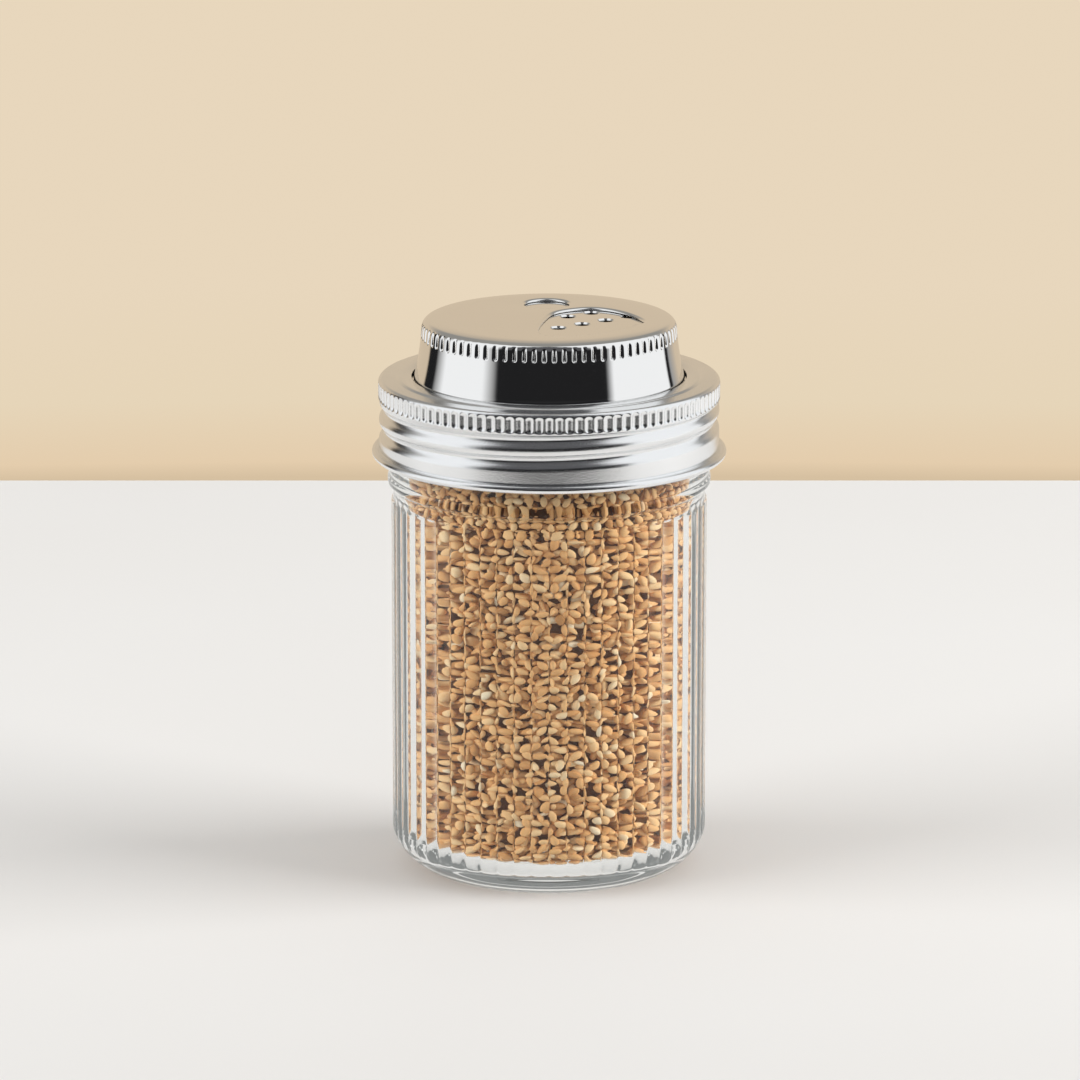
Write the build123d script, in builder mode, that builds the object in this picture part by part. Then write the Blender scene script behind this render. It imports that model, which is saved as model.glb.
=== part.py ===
from build123d import *
from math import cos, hypot, pi, radians, sin
import os

os.makedirs("parts", exist_ok=True)

# A ribbed glass spice jar with a screw band and a turning shaker cap.
# Sizes are in millimetres. The jar stands on its foot at the origin, +Z is up,
# and the front of the jar faces -Y. Azimuths are in degrees, counted from +X.

# Glass body
bore_radius = 29.5
wall = 2.85
rib_count = 56
rib_depth = 0.45
rib_top_height = 79.2
rib_top_slope_height = 0.9
heel_radius = 11.0
foot_flat_width = 2.0
foot_push_up = 1.2
floor_thickness = 5.6
floor_corner_radius = 5.0

# Glass neck, its transfer ring and its thread
neck_wall = 3.7
neck_length = 18.0
ring_stand = 0.3
ring_height = 2.15
ring_gap_over_ribs = 3.0
rim_outer_round = 0.8
rim_inner_round = 0.6
thread_pitch = 4.233
thread_round = 1.15
thread_stand = 1.35
thread_drop_from_rim = 1.55
thread_turns = 1.25
thread_end_azimuth = 273

# Seeds that fill the jar
fill_drop_from_rim = 10.85
fill_crown = 1.5
fill_clearance = 0.25

# Seal ring and the flange that presses it down
seal_thickness = 1.2
seal_width = 4.6
seal_round = 0.3
flange_thickness = 0.5

# Screw band
band_sheet = 0.35
band_flat_clearance = 0.1
band_thread_clearance = 0.35
band_land_width = 4.7
collar_width = 2.8
collar_raise = 0.35
collar_slope_width = 0.3
band_corner_radius = 1.0
band_height = 16.75
knurl_ring_stand = 0.15
knurl_ring_height = 4.35
knurl_count = 110
knurl_round = 0.75
knurl_depth = 0.3
knurl_length = 3.3
curl_round = 0.85
curl_stand = 1.5
groove_line_stand = 0.8
groove_thread_clearance = 0.0636
groove_turns = 1.75
groove_start_azimuth = -270
groove_seat_share = 0.45

# Shaker cap
cap_height = 12.65
cap_sheet = 0.45
cap_hole_clearance = 0.4
cap_seat_clearance = 0.3
cap_waist_draw = 1.1
cap_waist_lift = 5.15
cap_shoulder_draw = 0.65
cap_corner_radius = 1.75
cap_shoulder_wall = 0.95
cap_foot_wall = 0.65
cap_curl_width = 1.3
cap_curl_height = 0.85
flute_count = 80
flute_round = 0.55
flute_depth = 0.4
flute_length = 3.9
flute_foot_length = 1.0
flute_foot_radius = 0.1
lip_drop = 0.55
lip_round = 0.4
round_hole_radius = 4.65
round_hole_reach = 13.7
round_hole_azimuth = 92

# The fan-shaped window, as shares of the cap's shoulder radius and azimuths in degrees
window_shares = [
    (0.43, -101), (0.06, -121), (0.23, 74), (0.46, 51), (0.56, 33), (0.64, 12),
    (0.75, -10), (0.72, -22), (0.70, -35), (0.69, -57), (0.70, -78), (0.64, -93),
]

# Shaker insert
insert_sheet = 0.45
insert_foot_clearance = 0.25
insert_catch_depth = 0.2
insert_catch_height = 1.0
insert_catch_clearance = 0.3
insert_crown_clearance = 0.45
insert_crown_lift = 0.55
insert_corner_radius = 0.8
plate_thickness = 0.5
plate_clearance = 0.1
shaker_hole_radius = 1.5
dimple_lip = 0.2
dimple_spread = 0.35
dimple_depth = 0.35
hole_row_counts = [4, 2]
hole_row_azimuth = 37
hole_spacing = 6.1
hole_stagger = 8.2
hole_row_gap = 7.6
hole_row_x = 1.9
hole_row_y = -7.4
pour_hole_radius = 4.0
pour_hole_turn = 150

# Sizes that follow from the ones above
valley_radius = bore_radius + wall
crest_radius = valley_radius + rib_depth
rib_envelope_radius = crest_radius + rib_depth
overrun = 1.0
neck_radius = bore_radius + neck_wall
ring_radius = neck_radius + ring_stand
ring_bottom = rib_top_height + ring_gap_over_ribs
ring_top = ring_bottom + ring_height
rim_height = ring_top + neck_length
fill_height = rim_height - fill_drop_from_rim
thread_crest_radius = neck_radius + thread_stand
thread_line_radius = thread_crest_radius - thread_round
thread_end_height = rim_height - thread_drop_from_rim
flange_bottom = rim_height + seal_thickness
flange_top = flange_bottom + flange_thickness
seal_outer_radius = neck_radius + seal_round
band_flat_under = flange_top + band_flat_clearance
band_flat_top = band_flat_under + band_sheet
band_top = band_flat_top + collar_raise
band_hole_radius = neck_radius - band_land_width
band_inner_radius = thread_crest_radius + band_thread_clearance
band_outer_radius = band_inner_radius + band_sheet
knurl_ring_radius = band_outer_radius + knurl_ring_stand
knurl_ring_bottom = band_flat_top - knurl_ring_height
groove_line_radius = band_outer_radius + groove_line_stand
groove_seat = groove_seat_share * thread_pitch
thread_spacing = hypot(groove_line_radius - thread_line_radius, groove_seat)
groove_round = thread_spacing - thread_round - band_sheet - groove_thread_clearance
curl_line_radius = band_outer_radius + curl_stand - curl_round
curl_line_height = band_top - band_height + curl_round
collar_radius = band_hole_radius + collar_width
cap_base = flange_top + cap_seat_clearance
cap_top_height = cap_base + cap_height
cap_base_radius = band_hole_radius - cap_hole_clearance
cap_waist_radius = cap_base_radius - cap_waist_draw
cap_waist_height = cap_base + cap_waist_lift
cap_shoulder_radius = cap_waist_radius - cap_shoulder_draw
cap_curl_inner = cap_base_radius - cap_curl_width
cap_curl_top = cap_base + cap_curl_height
cap_inner_top = cap_top_height - cap_sheet
cap_inner_shoulder = cap_shoulder_radius - cap_shoulder_wall
cap_shoulder_height = cap_top_height - cap_corner_radius
cap_step_height = cap_waist_height + cap_corner_radius
lip_bottom = cap_top_height - lip_drop
plate_top = lip_bottom - plate_clearance
plate_under = plate_top - plate_thickness


def jar_thread_height(azimuth):
    """Height of the middle of the jar's thread at an azimuth, on its own spiral."""
    return thread_end_height - thread_pitch * (thread_end_azimuth - azimuth) / 360


def on_circle(radius, azimuth):
    """A point of the XY plane, from its radius and its azimuth in degrees."""
    return (radius * cos(radians(azimuth)), radius * sin(radians(azimuth)))


def wound_rod(start_height, start_azimuth, turns, line_radius, rod_radius):
    """A round rod wound right-handed about the jar's axis, with a ball at each end."""
    with BuildPart(mode=Mode.PRIVATE) as rod:
        with BuildLine(Plane.XY.offset(start_height)) as path:
            Helix(pitch=thread_pitch, height=turns * thread_pitch, radius=line_radius)
        with BuildSketch(Plane(origin=path.line @ 0, x_dir=(1, 0, 0), z_dir=path.line % 0)):
            Circle(rod_radius)
        sweep(path=path.line, is_frenet=True)
        with Locations(path.line @ 0, path.line @ 1):
            Sphere(rod_radius)
    return rod.part.rotate(Axis.Z, start_azimuth)


# Glass jar: one turned solid, cut to the ribbed outline, bored out and threaded.
foot_outer_radius = rib_envelope_radius - heel_radius
foot_inner_radius = foot_outer_radius - foot_flat_width
heel_middle = heel_radius * (1 - cos(pi / 4))
rib_pitch_azimuth = 360 / rib_count

with BuildPart() as glass_jar:
    with BuildSketch(Plane.XZ):
        with BuildLine():
            TangentArc((0, foot_push_up), (foot_inner_radius, 0), tangent=(1, 0))
            Line((foot_inner_radius, 0), (foot_outer_radius, 0))
            ThreePointArc(
                (foot_outer_radius, 0),
                (rib_envelope_radius - heel_middle, heel_middle),
                (rib_envelope_radius, heel_radius),
            )
            Polyline(
                (rib_envelope_radius, heel_radius),
                (rib_envelope_radius, rib_top_height - rib_top_slope_height),
                (valley_radius, rib_top_height),
                (valley_radius, ring_bottom - ring_stand),
                (ring_radius, ring_bottom),
                (ring_radius, ring_top - ring_stand),
                (neck_radius, ring_top),
                (neck_radius, rim_height),
                (0, rim_height),
                (0, foot_push_up),
            )
        make_face()
    revolve(axis=Axis.Z)

    # The ribs are what is left inside an outline of round arcs.
    with BuildSketch(Plane.XY):
        Circle(rib_envelope_radius + overrun)
        with BuildLine():
            for rib in range(rib_count):
                azimuth = rib * rib_pitch_azimuth
                ThreePointArc(
                    on_circle(valley_radius, azimuth),
                    on_circle(crest_radius, azimuth + rib_pitch_azimuth / 2),
                    on_circle(valley_radius, azimuth + rib_pitch_azimuth),
                )
        make_face(mode=Mode.SUBTRACT)
    extrude(amount=rib_top_height, mode=Mode.SUBTRACT)

    # The bore, with a rounded corner at the floor.
    with BuildSketch(Plane.XZ):
        with BuildLine():
            Line((0, floor_thickness), (bore_radius - floor_corner_radius, floor_thickness))
            RadiusArc(
                (bore_radius - floor_corner_radius, floor_thickness),
                (bore_radius, floor_thickness + floor_corner_radius),
                -floor_corner_radius,
            )
            Polyline(
                (bore_radius, floor_thickness + floor_corner_radius),
                (bore_radius, rim_height + overrun),
                (0, rim_height + overrun),
                (0, floor_thickness),
            )
        make_face()
    revolve(axis=Axis.Z, mode=Mode.SUBTRACT)

    rim_edges = glass_jar.edges().filter_by(GeomType.CIRCLE).group_by(Axis.Z)[-1]
    fillet(rim_edges.sort_by(SortBy.RADIUS)[-1], rim_outer_round)
    rim_edges = glass_jar.edges().filter_by(GeomType.CIRCLE).group_by(Axis.Z)[-1]
    fillet(rim_edges.sort_by(SortBy.RADIUS)[0], rim_inner_round)

    # The thread is a round rod that lies half in the neck.
    thread_start_azimuth = thread_end_azimuth - 360 * thread_turns
    add(wound_rod(
        jar_thread_height(thread_start_azimuth), thread_start_azimuth, thread_turns,
        thread_line_radius, thread_round,
    ))

glass_jar.part.label = "glass_jar"
export_step(glass_jar.part, "parts/glass_jar.step")

# Seeds: the space that they fill, from the floor to a low mound in the neck.
fill_radius = bore_radius - fill_clearance
fill_corner_radius = floor_corner_radius + fill_clearance

with BuildPart() as sesame_seeds:
    with BuildSketch(Plane.XZ):
        with BuildLine():
            Line((0, floor_thickness), (fill_radius - fill_corner_radius, floor_thickness))
            RadiusArc(
                (fill_radius - fill_corner_radius, floor_thickness),
                (fill_radius, floor_thickness + fill_corner_radius),
                -fill_corner_radius,
            )
            Line((fill_radius, floor_thickness + fill_corner_radius), (fill_radius, fill_height))
            TangentArc((0, fill_height + fill_crown), (fill_radius, fill_height), tangent=(1, 0))
            Line((0, fill_height + fill_crown), (0, floor_thickness))
        make_face()
    revolve(axis=Axis.Z)

sesame_seeds.part.label = "sesame_seeds"
export_step(sesame_seeds.part, "parts/sesame_seeds.step")

# Seal ring: a flat soft ring on the glass rim.
with BuildPart() as seal_ring:
    with BuildSketch(Plane.XZ):
        with Locations((seal_outer_radius - seal_width / 2, rim_height + seal_thickness / 2)):
            RectangleRounded(seal_width, seal_thickness, seal_round)
    revolve(axis=Axis.Z)

seal_ring.part.label = "seal_ring"
export_step(seal_ring.part, "parts/seal_ring.step")

# Screw band: a thin wall with a rolled thread, a curled foot and a knurled, collared top.
blank_radius = groove_line_radius + groove_round + band_sheet + overrun
band_corner_height = band_flat_top - band_corner_radius
knurl_line_radius = knurl_ring_radius - knurl_depth + knurl_round
knurl_bottom = (knurl_ring_bottom + band_flat_top - band_corner_radius / 2 - knurl_length) / 2
groove_start_height = jar_thread_height(groove_start_azimuth) - groove_seat

# The groove runs out under the knurled ring, so its rod is cut off there.
with BuildPart() as groove:
    add(wound_rod(
        groove_start_height, groove_start_azimuth, groove_turns,
        groove_line_radius, groove_round,
    ))
    with BuildSketch(Plane.XY.offset(knurl_ring_bottom)):
        Circle(blank_radius)
    extrude(amount=groove_turns * thread_pitch, mode=Mode.SUBTRACT)

with BuildPart() as screw_band:
    # The thread stands in on the inside of a thick blank, which is then turned down.
    with BuildSketch(Plane.XZ):
        with BuildLine():
            Polyline(
                (band_hole_radius, band_top - band_sheet),
                (band_hole_radius, band_top),
                (collar_radius, band_top),
                (collar_radius + collar_slope_width, band_flat_top),
                (knurl_ring_radius - band_corner_radius, band_flat_top),
            )
            RadiusArc(
                (knurl_ring_radius - band_corner_radius, band_flat_top),
                (knurl_ring_radius, band_corner_height),
                band_corner_radius,
            )
            Polyline(
                (knurl_ring_radius, band_corner_height),
                (blank_radius, band_corner_height),
                (blank_radius, curl_line_height),
                (band_inner_radius, curl_line_height),
                (band_inner_radius, band_flat_under),
                (collar_radius + collar_slope_width - band_sheet / 2, band_flat_under),
                (collar_radius - band_sheet / 2, band_top - band_sheet),
                (band_hole_radius, band_top - band_sheet),
            )
        make_face()
    revolve(axis=Axis.Z)
    add(wound_rod(
        groove_start_height, groove_start_azimuth, groove_turns,
        groove_line_radius, groove_round + band_sheet,
    ))
    with BuildSketch(Plane.XZ):
        with BuildLine():
            Polyline(
                (knurl_ring_radius, band_corner_height),
                (blank_radius + overrun, band_corner_height),
                (blank_radius + overrun, curl_line_height),
                (band_outer_radius, curl_line_height),
                (band_outer_radius, knurl_ring_bottom),
                (knurl_ring_radius, knurl_ring_bottom + knurl_ring_stand),
                (knurl_ring_radius, band_corner_height),
            )
        make_face()
    revolve(axis=Axis.Z, mode=Mode.SUBTRACT)

    # The same thread is sunk in on the outside, one sheet further out.
    add(groove.part, mode=Mode.SUBTRACT)

    # The knurls are short round flutes pressed into the ring at the top.
    with BuildSketch(Plane.XY.offset(knurl_bottom)):
        with PolarLocations(knurl_line_radius, knurl_count):
            Circle(knurl_round)
    extrude(amount=knurl_length, mode=Mode.SUBTRACT)

    # The foot is curled outwards into a bead.
    with BuildSketch(Plane.XZ):
        with Locations((curl_line_radius, curl_line_height)):
            Circle(curl_round)
    revolve(axis=Axis.Z)

screw_band.part.label = "screw_band"
export_step(screw_band.part, "parts/screw_band.step")

# One flute of the cap: an upright round cut that narrows to its foot.
flute_line_radius = cap_shoulder_radius - flute_depth + flute_round
flute_foot_height = cap_top_height - flute_length

with BuildPart() as flute:
    with BuildSketch(Plane.XZ):
        with BuildLine():
            Polyline(
                (0, flute_foot_height),
                (flute_foot_radius, flute_foot_height),
                (flute_round, flute_foot_height + flute_foot_length),
                (flute_round, cap_top_height + overrun),
                (0, cap_top_height + overrun),
                (0, flute_foot_height),
            )
        make_face()
    revolve(axis=Axis.Z)

# Shaker cap: a polished dome with a fluted shoulder, a window and a round hole.
corner_middle = cap_corner_radius * (1 - cos(pi / 4))
window_points = [on_circle(share * cap_shoulder_radius, azimuth) for share, azimuth in window_shares]
lip_points = []
for place, (x, y) in enumerate(window_points):
    after = window_points[(place + 1) % len(window_points)]
    run, rise = after[0] - window_points[place - 1][0], after[1] - window_points[place - 1][1]
    lip_points.append((x - cap_sheet * rise / hypot(run, rise), y + cap_sheet * run / hypot(run, rise)))
round_hole_place = on_circle(round_hole_reach, round_hole_azimuth)

with BuildPart() as shaker_cap:
    with BuildSketch(Plane.XZ):
        with BuildLine():
            ThreePointArc(
                (cap_base_radius, cap_base),
                (cap_waist_radius, cap_waist_height),
                (cap_shoulder_radius, cap_shoulder_height),
            )
            ThreePointArc(
                (cap_shoulder_radius, cap_shoulder_height),
                (cap_shoulder_radius - corner_middle, cap_top_height - corner_middle),
                (cap_shoulder_radius - cap_corner_radius, cap_top_height),
            )
            Polyline(
                (cap_shoulder_radius - cap_corner_radius, cap_top_height),
                (0, cap_top_height),
                (0, cap_inner_top),
                (cap_inner_shoulder, cap_inner_top),
                (cap_inner_shoulder, cap_step_height + cap_shoulder_wall),
                (cap_waist_radius - cap_shoulder_wall, cap_step_height),
                (cap_waist_radius - cap_sheet, cap_waist_height),
                (cap_base_radius - cap_foot_wall, cap_curl_top),
                (cap_curl_inner, cap_curl_top),
                (cap_curl_inner, cap_base),
                (cap_base_radius, cap_base),
            )
        make_face()
    revolve(axis=Axis.Z)
    with PolarLocations(flute_line_radius, flute_count, start_angle=180 / flute_count):
        add(flute.part, mode=Mode.SUBTRACT)

    # The window and the round hole have an edge that is rounded over and turned down.
    with BuildSketch(Plane.XY.offset(lip_bottom)):
        with BuildLine():
            Spline(*lip_points, periodic=True)
        make_face()
        with Locations(round_hole_place):
            Circle(round_hole_radius + cap_sheet)
    extrude(amount=lip_drop - cap_sheet / 2)
    with BuildSketch(Plane.XY.offset(cap_top_height)):
        with BuildLine():
            Spline(*window_points, periodic=True)
        make_face()
        with Locations(round_hole_place):
            Circle(round_hole_radius)
    extrude(amount=-lip_drop, mode=Mode.SUBTRACT)
    fillet(shaker_cap.faces().sort_by(Axis.Z)[-1].inner_wires().edges(), lip_round)

shaker_cap.part.label = "shaker_cap"
export_step(shaker_cap.part, "parts/shaker_cap.step")

# Shaker insert: a flange, a skirt that the cap clips over and turns on, and the holed plate.
insert_foot_radius = cap_curl_inner - insert_foot_clearance
insert_catch_radius = cap_curl_inner + insert_catch_depth
insert_catch_bottom = cap_curl_top + insert_catch_clearance
insert_catch_top = insert_catch_bottom + insert_catch_height
insert_crown_radius = cap_inner_shoulder - insert_crown_clearance
insert_crown_height = cap_step_height + insert_crown_lift
dimple_radius = shaker_hole_radius + dimple_spread


def shaker_hole_places():
    """Middles of the shaker holes, which lie in two slanting rows."""
    slant = radians(hole_row_azimuth)
    places = []
    for row, count in enumerate(hole_row_counts):
        across = row * hole_row_gap
        for hole in range(count):
            along = hole * hole_spacing + row * hole_stagger
            places.append((
                hole_row_x + along * cos(slant) - across * sin(slant),
                hole_row_y + along * sin(slant) + across * cos(slant),
            ))
    return places


with BuildPart() as shaker_insert:
    with BuildSketch(Plane.XZ):
        with BuildLine():
            Polyline(
                (insert_foot_radius - insert_sheet, flange_bottom),
                (seal_outer_radius, flange_bottom),
                (seal_outer_radius, flange_top),
                (insert_foot_radius, flange_top),
                (insert_foot_radius, insert_catch_bottom),
                (insert_catch_radius, (insert_catch_bottom + insert_catch_top) / 2),
                (insert_foot_radius, insert_catch_top),
                (insert_crown_radius, insert_crown_height),
                (insert_crown_radius, plate_top - insert_corner_radius),
            )
            RadiusArc(
                (insert_crown_radius, plate_top - insert_corner_radius),
                (insert_crown_radius - insert_corner_radius, plate_top),
                -insert_corner_radius,
            )
            Polyline(
                (insert_crown_radius - insert_corner_radius, plate_top),
                (0, plate_top),
                (0, plate_under),
                (insert_crown_radius - insert_sheet, plate_under),
                (insert_crown_radius - insert_sheet, insert_crown_height),
                (insert_foot_radius - insert_sheet, insert_catch_top),
                (insert_foot_radius - insert_sheet, flange_bottom),
            )
        make_face()
    revolve(axis=Axis.Z)

    # Each shaker hole is pierced through a small sunken dimple.
    with Locations(*[(x, y, plate_under) for x, y in shaker_hole_places()]):
        Cone(
            shaker_hole_radius + dimple_lip, dimple_radius + dimple_lip, dimple_depth,
            align=(Align.CENTER, Align.CENTER, Align.MAX),
        )
    with Locations(*[(x, y, plate_top) for x, y in shaker_hole_places()]):
        Cone(
            shaker_hole_radius, dimple_radius, dimple_depth,
            align=(Align.CENTER, Align.CENTER, Align.MAX), mode=Mode.SUBTRACT,
        )
    with BuildSketch(Plane.XY.offset(plate_top)):
        with Locations(*shaker_hole_places()):
            Circle(shaker_hole_radius)
        with Locations(on_circle(round_hole_reach, round_hole_azimuth + pour_hole_turn)):
            Circle(pour_hole_radius)
    extrude(amount=-plate_thickness - dimple_depth, mode=Mode.SUBTRACT)

shaker_insert.part.label = "shaker_insert"
export_step(shaker_insert.part, "parts/shaker_insert.step")
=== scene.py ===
# %% [markdown]
# # A ribbed glass spice jar with a shaker cap
# The CAD model gives the jar's sizes and its moving bodies. This script dresses it: it makes the
# glass, the screw band, the polished cap and the seeds as finer meshes that follow the same
# sizes, gives each a finish, and sets up a small studio. It runs in cells, each after a note.

# %% The CAD frame
import math
import random

import bmesh
import bpy
from mathutils import Matrix, Vector


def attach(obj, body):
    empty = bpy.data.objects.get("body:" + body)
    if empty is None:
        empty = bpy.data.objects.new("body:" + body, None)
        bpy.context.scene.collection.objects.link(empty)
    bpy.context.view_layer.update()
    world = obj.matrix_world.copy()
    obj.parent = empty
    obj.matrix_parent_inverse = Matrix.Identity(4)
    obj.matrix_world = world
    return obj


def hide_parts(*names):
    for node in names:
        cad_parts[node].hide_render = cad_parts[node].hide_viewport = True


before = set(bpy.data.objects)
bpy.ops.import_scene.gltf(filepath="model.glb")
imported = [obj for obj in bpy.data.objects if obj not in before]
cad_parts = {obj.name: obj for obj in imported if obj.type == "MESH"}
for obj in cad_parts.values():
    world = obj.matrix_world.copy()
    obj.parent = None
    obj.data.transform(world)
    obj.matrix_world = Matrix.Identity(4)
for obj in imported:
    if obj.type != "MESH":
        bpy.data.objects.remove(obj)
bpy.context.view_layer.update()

print("CAD nodes:", sorted(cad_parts))

# %% [markdown]
# ## Turning a shape
# The jar, the band and the cap are round, so each starts as a profile: points given as a radius
# and a height. A spin turns the profile about the jar's axis. It could also be a Screw modifier,
# but an operator leaves real vertices, which the next steps push in to make ribs and knurls. A
# spin in many hundred steps is slow, so one sector is spun in a few steps and then copied round.
# Sizes are written in millimetres, as they are on a drawing, and MM makes metres of them.

# %% Profile helpers
MM = 0.001


def arc(middle, radius, start, end, steps):
    """Points of a round corner, from one angle to another in degrees, 0 pointing outwards."""
    points = []
    for step in range(steps + 1):
        angle = math.radians(start + (end - start) * step / steps)
        points.append((middle[0] + radius * math.cos(angle), middle[1] + radius * math.sin(angle)))
    return points


def straight(start, end, steps):
    """Points along a straight part of a profile, without its start."""
    return [
        (start[0] + (end[0] - start[0]) * step / steps, start[1] + (end[1] - start[1]) * step / steps)
        for step in range(1, steps + 1)
    ]


print("one millimetre is", MM, "of Blender's units")

# %% Spin helper
MERGE_WITHIN = 0.00001  # metres


def spun(profile, sectors, steps, closed):
    """A bmesh of the profile turned about the jar's axis: one sector in steps, then copied round."""
    mesh = bmesh.new()
    points = [mesh.verts.new((radius * MM, 0, height * MM)) for radius, height in profile]
    edges = [mesh.edges.new(pair) for pair in zip(points, points[1:])]
    if closed:
        edges.append(mesh.edges.new((points[-1], points[0])))
    sector = 2 * math.pi / sectors
    bmesh.ops.spin(
        mesh, geom=points + edges, cent=(0, 0, 0), axis=(0, 0, 1), angle=sector, steps=steps,
    )
    bmesh.ops.spin(
        mesh, geom=mesh.verts[:] + mesh.edges[:] + mesh.faces[:], cent=(0, 0, 0), axis=(0, 0, 1),
        angle=2 * math.pi - sector, steps=sectors - 1, use_duplicate=True,
    )
    bmesh.ops.remove_doubles(mesh, verts=mesh.verts, dist=MERGE_WITHIN)
    bmesh.ops.recalc_face_normals(mesh, faces=mesh.faces)
    return mesh


def radius_of(vertex):
    """How far a vertex is from the jar's axis, in millimetres."""
    return math.hypot(vertex.co.x, vertex.co.y) / MM


def set_radius(vertex, radius):
    """Moves a vertex straight in or out to a radius in millimetres."""
    now = math.hypot(vertex.co.x, vertex.co.y)
    vertex.co.x *= radius * MM / now
    vertex.co.y *= radius * MM / now


def beside_mark(vertex, marks, radius):
    """Millimetres round a circle from a vertex to the nearest of a ring of even marks."""
    share = math.atan2(vertex.co.y, vertex.co.x) / (2 * math.pi) * marks % 1 - 0.5
    return abs(share) * 2 * math.pi * radius / marks


# %% Helpers that make an object
def finished(mesh, name, body, looks, nodes=()):
    """Makes an object of a bmesh and dresses it."""
    data = bpy.data.meshes.new(name)
    mesh.to_mesh(data)
    mesh.free()
    return dressed(data, name, body, looks, nodes)


def dressed(data, name, body, looks, nodes=()):
    """Makes a smooth object of mesh data, riding on its body and standing for its CAD nodes."""
    data.shade_smooth()
    piece = bpy.data.objects.new(name, data)
    bpy.context.collection.objects.link(piece)
    data.materials.append(looks)
    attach(piece, body)
    if nodes:
        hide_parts(*nodes)
    print(name, "has", sum(len(face.vertices) - 2 for face in data.polygons), "triangles")
    return piece


# %% [markdown]
# ## Wiring nodes
# Every finish below is a small net of nodes, such as a noise, some math or a ramp of colours. The
# nodes could be drawn by hand in the editor. A few helpers make each kind in one line instead.
# The ones that use feed take a plain value as well as another node's output.

# %% Node helpers
def feed(tree, value, socket):
    """Links a node's output to a socket, or sets the socket to a number or a colour."""
    if isinstance(value, bpy.types.NodeSocket):
        tree.links.new(value, socket)
    elif isinstance(value, tuple):
        socket.default_value = (*value, 1)
    else:
        socket.default_value = value


def math_node(tree, operation, *values):
    """The output of a math node."""
    node = tree.nodes.new("ShaderNodeMath")
    node.operation = operation
    for value, socket in zip(values, node.inputs):
        feed(tree, value, socket)
    return node.outputs[0]


def map_range(tree, value, low, high, start=0.0, kind="LINEAR"):
    """A value that runs from start to 1 while another one runs from low to high, and stops there."""
    node = tree.nodes.new("ShaderNodeMapRange")
    node.interpolation_type = kind
    node.inputs["From Min"].default_value = low
    node.inputs["From Max"].default_value = high
    node.inputs["To Min"].default_value = start
    tree.links.new(value, node.inputs["Value"])
    return node.outputs["Result"]


def object_noise(tree, scale, detail=2.0, roughness=0.5):
    """A noise that stays with the piece when it moves, because it reads Object coordinates."""
    place = tree.nodes.new("ShaderNodeTexCoord")
    noise = tree.nodes.new("ShaderNodeTexNoise")
    noise.inputs["Detail"].default_value = detail
    noise.inputs["Roughness"].default_value = roughness
    feed(tree, scale, noise.inputs["Scale"])
    tree.links.new(place.outputs["Object"], noise.inputs["Vector"])
    return noise.outputs["Fac"]


def colour_mix(tree, share, first, second):
    """A mix of two colours: the first where the share is 0, the second where it is 1."""
    node = tree.nodes.new("ShaderNodeMix")
    node.data_type = "RGBA"
    feed(tree, share, node.inputs["Factor"])
    feed(tree, first, node.inputs["A"])
    feed(tree, second, node.inputs["B"])
    return node.outputs["Result"]


def colour_ramp(tree, share, stops):
    """A colour for each share from 0 to 1. The stops are places and their colours."""
    node = tree.nodes.new("ShaderNodeValToRGB")
    tree.links.new(share, node.inputs["Fac"])
    elements = node.color_ramp.elements
    for place, colour in stops[1:-1]:
        elements.new(place).color = (*colour, 1)
    for element, (place, colour) in ((elements[0], stops[0]), (elements[-1], stops[-1])):
        element.position = place
        element.color = (*colour, 1)
    return node.outputs["Color"]


# %% Helpers that start a material
def new_looks(name):
    """A material, its node tree and its Principled shader."""
    looks = bpy.data.materials.new(name)
    looks.use_nodes = True
    tree = looks.node_tree
    return looks, tree, tree.nodes["Principled BSDF"]


def add_bump(tree, shader, height, distance):
    """Feeds a height to the shader's normal. The distance is in metres."""
    bump = tree.nodes.new("ShaderNodeBump")
    bump.inputs["Distance"].default_value = distance
    bump.inputs["Strength"].default_value = 1.0
    tree.links.new(height, bump.inputs["Height"])
    tree.links.new(bump.outputs["Normal"], shader.inputs["Normal"])


# %% [markdown]
# ## Fine marks on metal
# Polished and satin metal both carry faint marks: broad smudges that dull the shine a little, and
# pressed sheet is never quite flat. Both metals use this effect, so it is a node group, with its
# own values in each material. It gives a roughness and a height, and leaves the shader alone.

# %% A node group for metal marks
metal_marks = bpy.data.node_groups.new("metal_marks", "ShaderNodeTree")
for name, direction, value in (
    ("Roughness", "INPUT", 0.1), ("Smudge", "INPUT", 0.05), ("Smudge Scale", "INPUT", 60),
    ("Wave Scale", "INPUT", 120), ("Roughness", "OUTPUT", None), ("Height", "OUTPUT", None),
):
    socket = metal_marks.interface.new_socket(
        name=name, in_out=direction, socket_type="NodeSocketFloat",
    )
    if value is not None:
        socket.default_value = value
marks_in = metal_marks.nodes.new("NodeGroupInput")
marks_out = metal_marks.nodes.new("NodeGroupOutput")
smudge = object_noise(metal_marks, marks_in.outputs["Smudge Scale"], 4, 0.6)
wave = object_noise(metal_marks, marks_in.outputs["Wave Scale"], 1)
dulled = math_node(
    metal_marks, "MULTIPLY_ADD", smudge, marks_in.outputs["Smudge"], marks_in.outputs["Roughness"],
)
metal_marks.links.new(dulled, marks_out.inputs["Roughness"])
metal_marks.links.new(wave, marks_out.inputs["Height"])
print("metal_marks gives", [socket.name for socket in metal_marks.interface.items_tree])


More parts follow.
